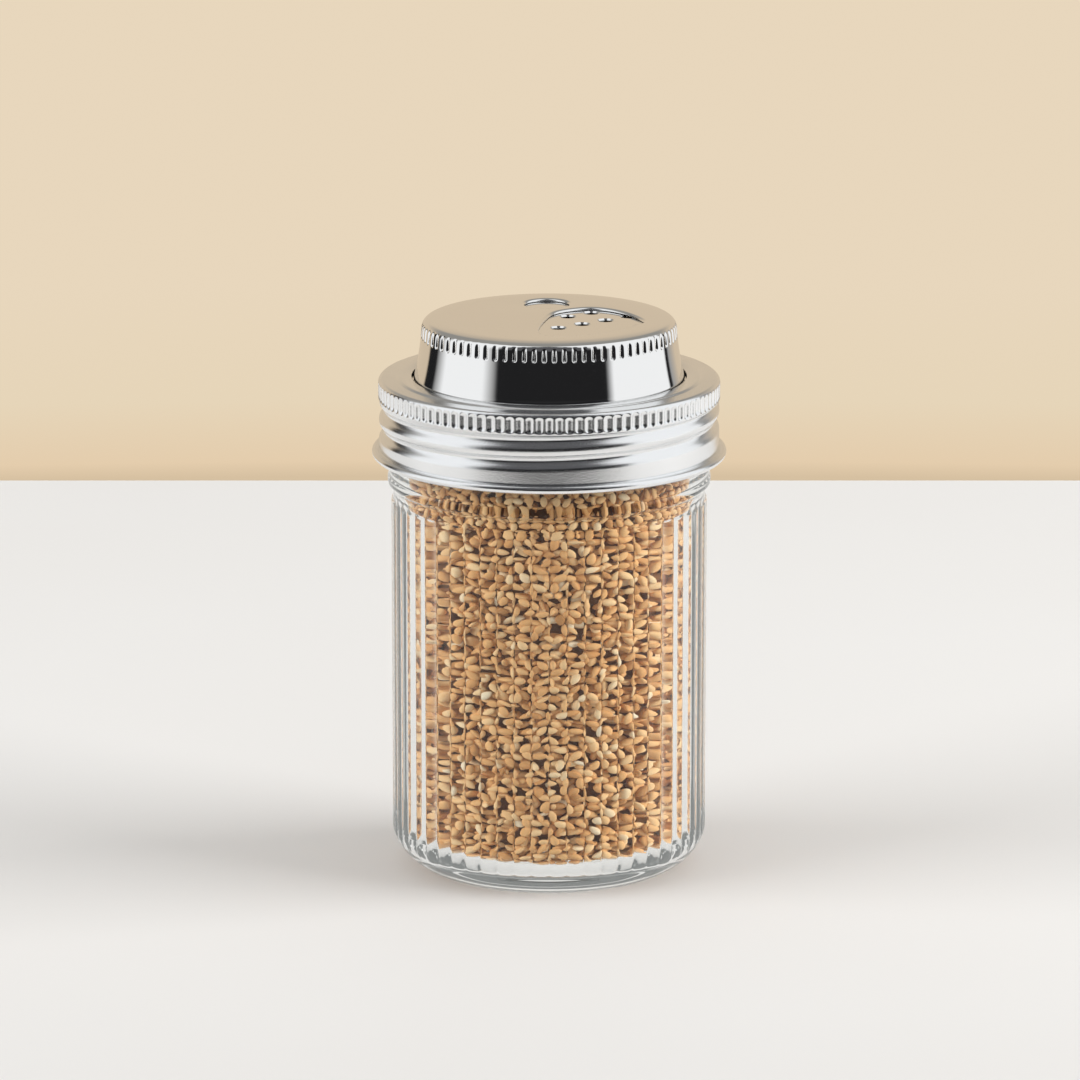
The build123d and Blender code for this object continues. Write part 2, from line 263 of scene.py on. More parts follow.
# %% The two metals
def marked_metal(name, colour, roughness, smudge, smudge_scale, wave_scale, wave_height):
    """A metal whose shine varies with the metal marks."""
    looks, tree, shader = new_looks(name)
    shader.inputs["Base Color"].default_value = (*colour, 1)
    shader.inputs["Metallic"].default_value = 1
    marks = tree.nodes.new("ShaderNodeGroup")
    marks.node_tree = metal_marks
    marks.inputs["Roughness"].default_value = roughness
    marks.inputs["Smudge"].default_value = smudge
    marks.inputs["Smudge Scale"].default_value = smudge_scale
    marks.inputs["Wave Scale"].default_value = wave_scale
    tree.links.new(marks.outputs["Roughness"], shader.inputs["Roughness"])
    add_bump(tree, shader, marks.outputs["Height"], wave_height)
    return looks


polished_steel = marked_metal(
    "polished_steel", (0.87, 0.87, 0.865), roughness=0.03, smudge=0.06,
    smudge_scale=70, wave_scale=160, wave_height=0.000003,
)
satin_steel = marked_metal(
    "satin_steel", (0.86, 0.87, 0.88), roughness=0.15, smudge=0.1,
    smudge_scale=140, wave_scale=3000, wave_height=0.000008,
)
print("metals:", polished_steel.name, satin_steel.name)

# %% [markdown]
# ## Clear glass
# The jar is pressed from soda-lime glass, which is clear with a faint grey-green where it is
# thick. A glass shader could be mixed by hand, but the Principled shader with full transmission
# does it in one, and exports well. Pressed glass is slightly wavy, which a low, wide bump gives.
# A grey Specular Tint weakens what the glass mirrors, so that the seeds behind it stay clear.

# %% The glass finish
clear_glass, glass_tree, glass_shader = new_looks("clear_glass")
glass_shader.inputs["Base Color"].default_value = (0.97, 0.985, 0.98, 1)
glass_shader.inputs["Roughness"].default_value = 0.0
glass_shader.inputs["IOR"].default_value = 1.5
glass_shader.inputs["Specular Tint"].default_value = (0.5, 0.5, 0.5, 1)
glass_shader.inputs["Transmission Weight"].default_value = 1.0
add_bump(glass_tree, glass_shader, object_noise(glass_tree, 60, 1), 0.000008)
print("glass:", clear_glass.name)

# %% [markdown]
# ## Light trapped in the glass
# In the thick foot and in the ribs at the sides, a ray can bounce inside the glass for longer
# than the renderer follows it, and such a spot would come out black. Real glass is pale there.
# More bounces would be slow, so the glass gives off a little pale light of its own, but only to a
# ray that has bounced five times and has met nothing rough on its way.

# %% Light for a trapped ray
TRAPPED_BOUNCES, TRAPPED_LIGHT = 5, (0.225, 0.235, 0.23)
glass_ray = glass_tree.nodes.new("ShaderNodeLightPath")
undiffused = math_node(glass_tree, "LESS_THAN", glass_ray.outputs["Diffuse Depth"], 0.5)
trapped = math_node(glass_tree, "COMPARE", glass_ray.outputs["Ray Depth"], TRAPPED_BOUNCES, 0.4)
trapped_share = math_node(glass_tree, "MULTIPLY", trapped, undiffused)
trapped_glow = colour_mix(glass_tree, trapped_share, (0, 0, 0), TRAPPED_LIGHT)
glass_tree.links.new(trapped_glow, glass_shader.inputs["Emission Color"])
glass_shader.inputs["Emission Strength"].default_value = 1.0
print("a trapped ray gets", TRAPPED_LIGHT)

# %% [markdown]
# ## The jar
# One piece of glass: a ring-shaped foot round a shallow push-up, a round heel, a ribbed body, a
# plain neck with one raised ring, a thread and a rounded rim. The profile goes up the outside and
# down the bore, so the wall has its real thickness and light bends twice, as it should. Ribs
# could be cut with a boolean, but pushing the spun vertices in to the rib outline is exact.

# %% Jar sizes and profile
BORE, VALLEY, RIB_DEPTH, RIBS = 29.5, 32.35, 0.45, 56
NECK, RIM_HEIGHT = 33.2, 102.35
ENVELOPE = VALLEY + 2 * RIB_DEPTH
JAR_STEPS = 12

jar_profile = [(0, 1.2), (6, 1.1), (12, 0.78), (17, 0.35), (19.4, 0.08), (20.25, 0), (22.25, 0)]
jar_profile += arc((22.25, 11), 11, -84, 0, 14)
jar_profile += straight((ENVELOPE, 11), (ENVELOPE, 78.0), 8)
jar_profile += [(33.2, 78.25), (33.0, 78.55), (32.75, 78.85), (32.52, 79.05), (32.38, 79.3)]
jar_profile += [(VALLEY, 79.6), (VALLEY, 81.2), (32.42, 81.6), (32.7, 81.88), (33.1, 82.08)]
jar_profile += [(33.38, 82.35), (33.5, 82.8), (33.52, 83.3), (33.48, 83.8), (33.35, 84.15)]
jar_profile += [(33.24, 84.4), (NECK, 84.8)]
jar_profile += straight((NECK, 84.8), (NECK, 93.8), 3)
jar_profile += straight((NECK, 93.8), (NECK, 101.3), 20)
jar_profile += arc((NECK - 0.8, RIM_HEIGHT - 0.8), 0.8, 0, 90, 5)[1:]
jar_profile += arc((BORE + 0.6, RIM_HEIGHT - 0.6), 0.6, 90, 180, 4)
jar_profile += straight((BORE, RIM_HEIGHT - 0.6), (BORE, 10.6), 8)
jar_profile += arc((BORE - 5, 10.6), 5, 0, -90, 9)[1:]
jar_profile += [(18, 5.6), (9, 5.6), (0, 5.6)]
print("jar profile:", len(jar_profile), "points")

# %% The jar's thread
THREAD_PITCH, THREAD_START, THREAD_END, THREAD_TOP = 4.233, -177, 273, 100.8
THREAD_MIDDLE, THREAD_ROUND, THREAD_REACH, THREAD_FOOT = 33.4, 1.15, 1.14, 93


def thread_height(azimuth):
    """Height of the middle of the jar's thread in millimetres, its azimuth in degrees."""
    return THREAD_TOP - THREAD_PITCH * (THREAD_END - azimuth) / 360


def spiral_distance(vertex, start, end, drop):
    """Millimetres over the wall from a vertex to the thread's line, or to one that lies lower."""
    radius = radius_of(vertex)
    azimuth = math.degrees(math.atan2(vertex.co.y, vertex.co.x))
    nearest = 99.0
    for turn in range(-1, 2):
        wound = azimuth + 360 * turn
        held = min(max(wound, start), end)
        along = math.radians(wound - held) * radius
        nearest = min(nearest, math.hypot(along, vertex.co.z / MM - thread_height(held) + drop))
    return nearest


print("the thread starts at", round(thread_height(THREAD_START), 2), "mm and ends at", THREAD_TOP)

# %% The jar's ribs and its mesh
RIB_TOP, RIB_ROUND = 79.2, 0.7


def rib_radius(azimuth):
    """Radius of the ribs in millimetres, its azimuth in radians: one shallow round arc per rib."""
    share = azimuth / (2 * math.pi) * RIBS % 1
    return VALLEY + RIB_DEPTH * (1 - RIB_ROUND * (2 * share - 1) ** 2)


jar_mesh = spun(jar_profile, RIBS, JAR_STEPS, closed=False)
for vertex in jar_mesh.verts:
    radius, height = radius_of(vertex), vertex.co.z / MM
    outline = rib_radius(math.atan2(vertex.co.y, vertex.co.x))
    if height < RIB_TOP and radius > outline:
        set_radius(vertex, outline)
    if radius > NECK - 0.5 and height > THREAD_FOOT:
        distance = spiral_distance(vertex, THREAD_START, THREAD_END, 0)
        if distance < THREAD_REACH:
            bulge = math.sqrt(THREAD_ROUND**2 - distance**2)
            set_radius(vertex, max(NECK, THREAD_MIDDLE + bulge))

jar = finished(jar_mesh, "ribbed_glass_jar", "jar", clear_glass, ["glass_jar"])
# The renderer would give clear glass a dark shadow, where real glass lets the light through.
jar.visible_shadow = False

# %% [markdown]
# ## The screw band
# A thin satin steel ring. Its foot is curled out into a bead, a rolled thread runs round its wall
# as a soft groove, and its shoulder is pressed with small upright knurls. Its top has a raised
# collar round the hole. It is spun as a closed sheet, then the groove and the knurls are pressed
# in by moving vertices, which gives the soft edges that pressed sheet has.

# %% Band profile
BAND_IN, BAND_OUT, BAND_RING = 34.9, 35.25, 35.4
BAND_STEPS, WALL_STARTS, WALL_ENDS = 10, 90, 103.6
band_profile = arc((35.9, 88.9), 0.85, 190, 500, 14)
band_profile += straight((BAND_OUT, 89.45), (BAND_OUT, 100.05), 26)
band_profile += [(35.33, 100.16), (BAND_RING, 100.34)]
band_profile += straight((BAND_RING, 100.34), (BAND_RING, 103.5), 18)
band_profile += arc((BAND_RING - 1, 103.5), 1, 0, 90, 6)[1:]
band_profile += [(31.75, 104.5), (31.6, 104.53), (31.42, 104.72), (31.25, 104.83), (31.0, 104.85)]
band_profile += [(28.6, 104.85), (28.5, 104.8), (28.5, 104.52), (28.6, 104.5)]
band_profile += [(31.1, 104.5), (31.4, 104.15), (34.5, 104.15), (BAND_IN, 103.9)]
band_profile += straight((BAND_IN, 103.9), (BAND_IN, 88.9), 10)
print("band profile:", len(band_profile), "points")

# %% The band's groove and knurls
GROOVE_START, GROOVE_END, GROOVE_DROP = -270, 360, 0.45 * THREAD_PITCH
GROOVE_REACH, GROOVE_HALF_DEPTH, GROOVE_TOP, GROOVE_FADE = 1.8, 0.45, 100.1, 0.6
KNURLS, KNURL_MIDDLE, KNURL_HALF = 110, 102.1, 1.05
KNURL_REACH, KNURL_DEPTH = 0.76, 0.36


def groove_depth(vertex):
    """How deep the rolled groove is at a vertex, in millimetres. It fades out at the shoulder."""
    distance = spiral_distance(vertex, GROOVE_START, GROOVE_END, GROOVE_DROP)
    if distance >= GROOVE_REACH:
        return 0
    fade = min(max((GROOVE_TOP - vertex.co.z / MM) / GROOVE_FADE, 0), 1)
    return GROOVE_HALF_DEPTH * fade * (1 + math.cos(math.pi * distance / GROOVE_REACH))


def knurl_depth(vertex):
    """How deep a knurl is pressed in at a vertex, in millimetres."""
    across = beside_mark(vertex, KNURLS, BAND_RING)
    beyond = max(abs(vertex.co.z / MM - KNURL_MIDDLE) - KNURL_HALF, 0)
    reach = math.hypot(across, beyond) / KNURL_REACH
    return KNURL_DEPTH * (1 - reach * reach) if reach < 1 else 0


band_mesh = spun(band_profile, KNURLS, BAND_STEPS, closed=True)
for vertex in band_mesh.verts:
    radius = radius_of(vertex)
    if radius > BAND_IN - 0.05 and WALL_STARTS < vertex.co.z / MM < WALL_ENDS:
        on_shoulder = radius > BAND_RING - 0.02
        set_radius(vertex, radius - (knurl_depth if on_shoulder else groove_depth)(vertex))

finished(band_mesh, "screw_band_sheet", "band", satin_steel, ["screw_band"])

# %% [markdown]
# ## The shaker cap
# A mirror-bright pressed cap. Its side leans in to a waist, its shoulder has eighty small flutes,
# and its flat top has a fan-shaped window and a round hole with turned-down edges. Only its outer
# skin is modelled, and a Solidify modifier gives the sheet its thickness. The flat top is filled
# between the outline loops, and each loop is then extruded down to make the turned edge.

# %% Cap profile
CAP_TOP, CAP_SHOULDER, CAP_FOOT = 117.0, 26.36, 28.1
SIDE_MIDDLE, SIDE_RADIUS = (82.736, 118.712), 56.4925
SIDE_FOOT, SIDE_TOP, SIDE_STEPS = 104.75, 112.9, 16
cap_profile = [(26.85, 104.95), (26.85, 104.45), (26.95, 104.36), (27.95, 104.35)]
cap_profile += arc((CAP_FOOT - 0.2, 104.55), 0.2, -60, 0, 3)
for step in range(1, SIDE_STEPS + 1):
    height = SIDE_FOOT + (SIDE_TOP - SIDE_FOOT) * step / SIDE_STEPS
    inward = math.sqrt(SIDE_RADIUS**2 - (height - SIDE_MIDDLE[1]) ** 2)
    cap_profile.append((SIDE_MIDDLE[0] - inward, height))
print("side ends at", [round(value, 2) for value in cap_profile[-1]], "and should be near 26.5")
cap_profile += straight(cap_profile[-1], (CAP_SHOULDER, 115), 14)
cap_profile += arc((CAP_SHOULDER - 1.75, 115), 1.75, 0, 82, 9)[1:]
cap_profile += [(24.2, 116.81), (23.5, 116.885), (22.8, 116.94), (22, 116.98), (21, CAP_TOP)]

# %% Cap skin with its flutes
FLUTES, FLUTE_RING, FLUTE_STEPS = 80, 26.35, 12
FLUTE_REACH, FLUTE_FOOT, FLUTE_FLOOR = 0.52, 113.6, 25.98
SHOULDER_STARTS = 113


def fluted_radius(vertex):
    """The radius of a vertex of the shoulder once the flutes are pressed in, in millimetres."""
    radius = radius_of(vertex)
    below = max(FLUTE_FOOT - vertex.co.z / MM, 0)
    reach = math.hypot(beside_mark(vertex, FLUTES, FLUTE_RING), below) / FLUTE_REACH
    return radius - max(radius - FLUTE_FLOOR, 0) * (1 - reach * reach) if reach < 1 else radius


cap_mesh = spun(cap_profile, FLUTES, FLUTE_STEPS, closed=False)
for vertex in cap_mesh.verts:
    if vertex.co.z / MM > SHOULDER_STARTS:
        set_radius(vertex, fluted_radius(vertex))
print("cap skin:", len(cap_mesh.faces), "faces")

# %% Window and round hole outlines
WINDOW_RING = 26.35
WINDOW = [  # each point as a share of the ring's radius, and its azimuth in degrees
    (0.43, -101), (0.06, -121), (0.23, 74), (0.46, 51), (0.56, 33), (0.64, 12),
    (0.75, -10), (0.72, -22), (0.70, -35), (0.69, -57), (0.70, -78), (0.64, -93),
]
HOLE_PLACE, HOLE_RADIUS, HOLE_STEPS = (13.7, 92), 4.65, 48


def on_circle(radius, azimuth):
    """A point in plan, from its radius in millimetres and its azimuth in degrees."""
    turn = math.radians(azimuth)
    return Vector((radius * math.cos(turn), radius * math.sin(turn), 0))


def smooth_outline(points, between):
    """A closed smooth curve through points, with some more points between each two."""
    outline = []
    count = len(points)
    for place in range(count):
        before, start, end, after = (points[(place + shift) % count] for shift in (-1, 0, 1, 2))
        for step in range(between):
            share = step / between
            leave = (end - before) / 2
            arrive = (after - start) / 2
            outline.append(
                start * (2 * share**3 - 3 * share**2 + 1) + leave * (share**3 - 2 * share**2 + share)
                + end * (3 * share**2 - 2 * share**3) + arrive * (share**3 - share**2)
            )
    return outline


def outward(outline):
    """The direction straight out of a closed outline at each of its points."""
    middle = sum(outline, Vector()) / len(outline)
    turned = []
    for place, point in enumerate(outline):
        along = outline[(place + 1) % len(outline)] - outline[place - 1]
        side = Vector((along.y, -along.x, 0)).normalized()
        turned.append(side if side.dot(point - middle) > 0 else -side)
    return turned


window_outline = smooth_outline([on_circle(share * WINDOW_RING, turn) for share, turn in WINDOW], 8)
hole_middle = on_circle(*HOLE_PLACE)
hole_outline = [
    hole_middle + on_circle(HOLE_RADIUS, step * 360 / HOLE_STEPS) for step in range(HOLE_STEPS)
]
print("window:", len(window_outline), "points, hole:", len(hole_outline))

# %% Flat top with turned-down edges
LIP_START, CAP_SHEET = 0.75, 0.42
LIP = [  # each step of the edge: how far outside the outline it is, and its height
    (0.6, 116.985), (0.45, 116.95), (0.3, 116.89), (0.17, 116.81),
    (0.07, 116.7), (0, 116.6), (0, 116.47),
]
top_edges = [
    edge for edge in cap_mesh.edges
    if edge.is_boundary and edge.verts[0].co.z > (CAP_TOP - 0.5) * MM
]
openings = []
for outline in (window_outline, hole_outline):
    directions = outward(outline)
    ring = [
        cap_mesh.verts.new((point + away * LIP_START).xy.to_3d() * MM + Vector((0, 0, CAP_TOP * MM)))
        for point, away in zip(outline, directions)
    ]
    edges = [cap_mesh.edges.new((ring[place - 1], ring[place])) for place in range(len(ring))]
    openings.append((edges, outline, directions))
bmesh.ops.triangle_fill(
    cap_mesh, use_beauty=True, use_dissolve=False,
    edges=top_edges + [edge for edges, _, _ in openings for edge in edges],
)

for edges, outline, directions in openings:
    for stand, height in LIP:
        new = bmesh.ops.extrude_edge_only(cap_mesh, edges=edges)["geom"]
        edges = [item for item in new if isinstance(item, bmesh.types.BMEdge) and item.is_boundary]
        for vertex in {corner for edge in edges for corner in edge.verts}:
            gaps = [(point.xy - vertex.co.xy / MM).length for point in outline]
            near = gaps.index(min(gaps))
            place = outline[near] + directions[near] * stand
            vertex.co = Vector((place.x * MM, place.y * MM, height * MM))

bmesh.ops.recalc_face_normals(cap_mesh, faces=cap_mesh.faces)
cap = finished(
    cap_mesh, "polished_shaker_cap", "cap", polished_steel, ["shaker_cap"],
)
cap_sheet = cap.modifiers.new("sheet", "SOLIDIFY")
cap_sheet.thickness = CAP_SHEET * MM
cap_sheet.offset = -1

# %% [markdown]
# ## The insert and the seal
# The holed plate under the cap and the soft ring under its flange keep their CAD shapes, which
# are already exact. The plate is the same bright sheet as the cap. The seal is a cream silicone
# ring, a little dull, with a fine mottle so that it doesn't look like hard plastic.

# %% Finishes of the CAD nodes
silicone, silicone_tree, silicone_shader = new_looks("cream_silicone")
silicone_shader.inputs["Roughness"].default_value = 0.55
mottle = object_noise(silicone_tree, 900)
mottled = colour_ramp(silicone_tree, mottle, [(0.0, (0.62, 0.6, 0.55)), (1.0, (0.72, 0.7, 0.65))])
silicone_tree.links.new(mottled, silicone_shader.inputs["Base Color"])

for node, looks in [("shaker_insert", polished_steel), ("seal_ring", silicone)]:
    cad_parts[node].data.materials.clear()
    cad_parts[node].data.materials.append(looks)
    print(node, "is", looks.name)

# %% [markdown]
# ## Sesame seeds
# The jar holds tens of thousands of seeds, but only the ones against the glass, on the top and on
# the floor are seen. A particle system would do, but it doesn't export, so copies of one small
# teardrop mesh are placed in three layers, each turned at random. Behind them a dark core fills
# the jar in place of the inner seeds; its dark brown is painted shade, which gives the brown gaps.
# Each seed carries its own shade of colour, from tan to near white.

# %% Seed finish
SPECKLE_SHARE = 0.22
sesame, sesame_tree, sesame_shader = new_looks("hulled_sesame")
sesame_shader.inputs["Roughness"].default_value = 0.5
sesame_shader.inputs["Specular IOR Level"].default_value = 0.25
seed_shade = sesame_tree.nodes.new("ShaderNodeAttribute")
seed_shade.attribute_name = "shade"
speckle = object_noise(sesame_tree, 1100, 3)
speckled = math_node(sesame_tree, "MULTIPLY_ADD", speckle, SPECKLE_SHARE, seed_shade.outputs["Fac"])
# The lowest stops, from 0 to 0.12, are mostly what the core gets, as it has no shade attribute: dark
# brown painted shade for the gaps between the seeds.
seed_colour = colour_ramp(sesame_tree, math_node(sesame_tree, "SUBTRACT", speckled, SPECKLE_SHARE / 2), [
    (0.0, (0.24, 0.11, 0.04)), (0.12, (0.34, 0.165, 0.06)), (0.3, (0.68, 0.34, 0.125)),
    (0.55, (0.87, 0.51, 0.22)), (0.8, (0.93, 0.66, 0.36)), (1.0, (0.93, 0.8, 0.58)),
])
sesame_tree.links.new(seed_colour, sesame_shader.inputs["Base Color"])
add_bump(sesame_tree, sesame_shader, speckle, 0.00004)
print("seed finish:", sesame.name)

# %% One seed
SEED_HALF = Vector((1.2, 0.82, 0.48))
SEED_TAPER = 0.22
seed_mesh = bpy.data.meshes.new("one_seed")
seed = bmesh.new()
bmesh.ops.create_uvsphere(seed, u_segments=8, v_segments=7, radius=1)
bmesh.ops.rotate(seed, verts=seed.verts, cent=(0, 0, 0), matrix=Matrix.Rotation(math.pi / 2, 3, "Y"))
for vertex in seed.verts:
    narrow = 1 - SEED_TAPER * (vertex.co.x + 1) * 0.5 - SEED_TAPER * max(vertex.co.x, 0) ** 2
    vertex.co = vertex.co * SEED_HALF * Vector((1, narrow, narrow))
seed.to_mesh(seed_mesh)
seed.free()
print("one seed has", len(seed_mesh.polygons), "faces")

# %% A seed's pose
dice = random.Random(41)
LYING_SHARE, STEEP_LEAN, SEED_SCALES = 0.65, (35, 90), (0.87, 1.12)
STRAY_ROUND, STRAY_UP = 0.22, 0.4


def seed_pose(place, away, depth, tilt):
    """A seed turned at random, whose nearest point lies at a depth under a surface."""
    lean = dice.gauss(0, tilt) if dice.random() < LYING_SHARE else dice.uniform(*STEEP_LEAN)
    turn = away.to_track_quat("Z", "Y").to_matrix()
    turn = turn @ Matrix.Rotation(dice.uniform(0, 2 * math.pi), 3, "Z")
    turn = turn @ Matrix.Rotation(math.radians(lean), 3, "X")
    turn = turn @ Matrix.Rotation(dice.uniform(0, 2 * math.pi), 3, "Z")
    scale = Vector([dice.uniform(*SEED_SCALES) for _ in range(3)])
    half = SEED_HALF * scale
    reach = math.sqrt(sum((turn.col[side].dot(away) * half[side]) ** 2 for side in range(3)))
    middle = (place - away * (reach + depth)) * MM
    return Matrix.Translation(middle) @ turn.to_4x4() @ Matrix.Diagonal((*(scale * MM), 1))


def ring_poses(radius, height, slope, depth, gap, tilt):
    """Seeds round one ring of a surface. Its slope is 0 on the wall, 90 on the floor, -90 on top."""
    poses = []
    inner = max(radius - depth * math.cos(math.radians(slope)), 0.5)
    count = max(int(2 * math.pi * inner / gap), 1)
    first = dice.uniform(0, 360)
    for place in range(count):
        azimuth = first + (place + dice.uniform(-STRAY_ROUND, STRAY_ROUND)) * 360 / count
        point = on_circle(radius, azimuth)
        point.z = height + dice.uniform(-STRAY_UP, STRAY_UP) * math.cos(math.radians(slope))
        away = on_circle(math.cos(math.radians(slope)), azimuth)
        away.z = -math.sin(math.radians(slope))
        poses.append(seed_pose(point, away, depth, tilt))
    return poses


# %% Layers of seeds
FILL_RADIUS, FILL_FLOOR, FILL_CORNER, FILL_TOP = 29.35, 5.75, 4.85, 91
MOUND_RADIUS, MOUND_FOOT, MOUND_RISE, MOUND_ROW = 28.2, 91.5, 1.4, 1.8
MOUND_REACH, CORNER_ANGLES = 29, (68, 42, 16)


def layer_poses(depth, row, gap, tilt):
    """Seeds of one layer, at a depth in from the glass: the floor, its round corner and the wall."""
    poses = []
    centre = FILL_RADIUS - FILL_CORNER
    radius = centre
    while radius > 0.5:
        poses += ring_poses(radius, FILL_FLOOR, 90, depth, gap, tilt)
        radius -= row
    for angle in CORNER_ANGLES:
        bend = math.radians(angle)
        ring = (centre + FILL_CORNER * math.cos(bend), FILL_FLOOR + FILL_CORNER * (1 - math.sin(bend)))
        poses += ring_poses(*ring, angle, depth, gap, tilt)
    height = FILL_FLOOR + FILL_CORNER + 0.6
    while height < FILL_TOP:
        poses += ring_poses(FILL_RADIUS, height, 0, depth, gap, tilt)
        height += row
    return poses


def mound_poses():
    """Seeds on the low mound at the top."""
    poses = []
    radius = MOUND_RADIUS
    while radius > 0.5:
        height = MOUND_FOOT + MOUND_RISE * (1 - (radius / MOUND_REACH) ** 2)
        poses += ring_poses(radius, height, -90, depth=0, gap=2.3, tilt=18)
        radius -= MOUND_ROW
    return poses


seed_groups = {
    "wall_seeds": layer_poses(depth=0, row=1.8, gap=2.4, tilt=13),
    "under_seeds": layer_poses(depth=0.55, row=1.8, gap=2.4, tilt=20)
    + layer_poses(depth=1.3, row=1.9, gap=2.5, tilt=28),
    "mound_seeds": mound_poses(),
}
print("seeds:", {group: len(poses) for group, poses in seed_groups.items()})

# %% Joining the seeds
SEEDS_PER_MESH = 1900
PALE_SHARE, PALE_TONES = 0.03, (0.9, 1.05)
TAN_MIDDLE, TAN_SPREAD, TAN_DARKEST, TAN_PALEST = 0.56, 0.15, 0.22, 0.88


def seed_tone():
    """One seed's own shade: nearly white now and then, and otherwise some tan."""
    if dice.random() < PALE_SHARE:
        return dice.uniform(*PALE_TONES)
    return min(max(dice.gauss(TAN_MIDDLE, TAN_SPREAD), TAN_DARKEST), TAN_PALEST)


def seed_heap(name, poses, body):
    """One mesh of many copies of the seed, each with its own shade."""
    each = len(seed_mesh.vertices)
    corners = [pose @ vertex.co for pose in poses for vertex in seed_mesh.vertices]
    faces = [
        [first + corner for corner in face.vertices]
        for first in range(0, len(corners), each) for face in seed_mesh.polygons
    ]
    data = bpy.data.meshes.new(name)
    data.from_pydata(corners, [], faces)
    values = []
    for _ in poses:
        values += [seed_tone()] * each
    data.attributes.new("shade", "FLOAT", "POINT").data.foreach_set("value", values)
    return dressed(data, name, body, sesame)


def share_out(poses):
    """Splits the poses by height into even parts, so that no mesh grows too large."""
    ordered = sorted(poses, key=lambda pose: pose.translation.z)
    parts = -(-len(ordered) // SEEDS_PER_MESH)
    size = -(-len(ordered) // parts)
    return [ordered[start:start + size] for start in range(0, len(ordered), size)]


for group, poses in seed_groups.items():
    for part, chunk in enumerate(share_out(poses), 1):
        seed_heap(f"{group}_{part}", chunk, "jar")

# %% The core behind the seeds
# The core has no shade attribute, so it takes the darkest stops of the seed ramp: painted shade for the
# gaps between the seeds, where the inner seeds would lie in shadow.
CORE_SECTORS, CORE_STEPS = 16, 4
core_profile = [(0, 8.2), (20, 8.2), (24, 9.4), (26.2, 12.3), (26.5, 16), (26.5, 88)]
core_profile += [(25, 90), (0, 90.8)]
core_mesh = spun(core_profile, CORE_SECTORS, CORE_STEPS, closed=False)
finished(core_mesh, "seed_core_painted_shade", "jar", sesame, ["sesame_seeds"])

# %% [markdown]
# ## The studio
# The jar stands on a white table in front of a warm wall. The wall could be a sheet of its own,
# but one that stands upright would hide the jar from behind, so the world draws it beyond the
# table's edge on every side. The table darkens a little towards the camera. Seen through the
# glass or mirrored behind it, it is partly its own even light, because the foot of the jar
# gathers light from the table that the lamps alone don't bring there.

# %% Table
TABLE_LEFT, TABLE_RIGHT, TABLE_FRONT, TABLE_BACK = -0.6, 0.6, -0.36, 0.341
table_mesh = bmesh.new()
bmesh.ops.create_grid(table_mesh, x_segments=1, y_segments=1, size=0.5)
for vertex in table_mesh.verts:
    vertex.co.x = TABLE_RIGHT if vertex.co.x > 0 else TABLE_LEFT
    vertex.co.y = TABLE_BACK if vertex.co.y > 0 else TABLE_FRONT
table_data = bpy.data.meshes.new("table_top")
table_mesh.to_mesh(table_data)
table_mesh.free()
table = bpy.data.objects.new("table_top", table_data)
bpy.context.collection.objects.link(table)
print("the table ends", TABLE_BACK, "m behind the jar")

# %% Table finish
# The base colour is scaled down towards the camera, to 0.91 of itself at the front: painted shade that
# darkens the front of the table.
SHADE_STARTS_AT, SHADE_FULL_AT, SHADED_SHARE = -0.03, -0.2, 0.91
table_looks, table_tree, table_shader = new_looks("white_table")
table_shader.inputs["Roughness"].default_value = 0.6
table_shader.inputs["Specular IOR Level"].default_value = 0.1
table_white = colour_ramp(
    table_tree, object_noise(table_tree, 6), [(0.3, (0.84, 0.825, 0.805)), (0.7, (0.85, 0.84, 0.825))],
)
table_place = table_tree.nodes.new("ShaderNodeTexCoord")
table_split = table_tree.nodes.new("ShaderNodeSeparateXYZ")
table_tree.links.new(table_place.outputs["Object"], table_split.inputs["Vector"])
table_painted_shade = table_tree.nodes.new("ShaderNodeVectorMath")
table_painted_shade.operation = "SCALE"
table_tree.links.new(table_white, table_painted_shade.inputs[0])
table_tree.links.new(
    map_range(table_tree, table_split.outputs["Y"], SHADE_FULL_AT, SHADE_STARTS_AT, SHADED_SHARE),
    table_painted_shade.inputs["Scale"],
)
table_tree.links.new(table_painted_shade.outputs["Vector"], table_shader.inputs["Base Color"])
table_data.materials.append(table_looks)
print("table finish:", table_looks.name)

# %% The table's light for rays that have been through glass
GLOW_COLOUR, GLOW_SHARE = (0.8, 0.79, 0.77), 0.8
table_ray = table_tree.nodes.new("ShaderNodeLightPath")
table_sharp = math_node(
    table_tree, "MAXIMUM", table_ray.outputs["Is Transmission Ray"], table_ray.outputs["Is Glossy Ray"],
)
table_past_glass = math_node(
    table_tree, "GREATER_THAN", table_ray.outputs["Transmission Depth"], 0.5,
)
table_seen = math_node(table_tree, "MULTIPLY", table_sharp, table_past_glass)
table_glow = table_tree.nodes.new("ShaderNodeEmission")
table_glow.inputs["Color"].default_value = (*GLOW_COLOUR, 1)
table_mix = table_tree.nodes.new("ShaderNodeMixShader")
feed(table_tree, math_node(table_tree, "MULTIPLY", table_seen, GLOW_SHARE), table_mix.inputs["Fac"])
feed(table_tree, table_shader.outputs[0], table_mix.inputs[1])
feed(table_tree, table_glow.outputs[0], table_mix.inputs[2])
feed(table_tree, table_mix.outputs[0], table_tree.nodes["Material Output"].inputs["Surface"])
print("through glass, the table is", GLOW_SHARE, "its own light")

# %% [markdown]
# ## The lamps
# Two big soft lamps stand left and right, as softboxes do, with the stronger one on the right.
# They are close to plain daylight, so that a colour renders about as it is written. Mirrors and
# glass don't see them, because the world draws their mirror images with softer edges.

# %% Softboxes
LAMP_WIDTH, LAMP_HEIGHT, LAMP_DISTANCE, LAMP_MIDDLE = 1.6, 1.2, 2.0, 0.75
LAMP_AIM = Vector((0, 0, 0.05))


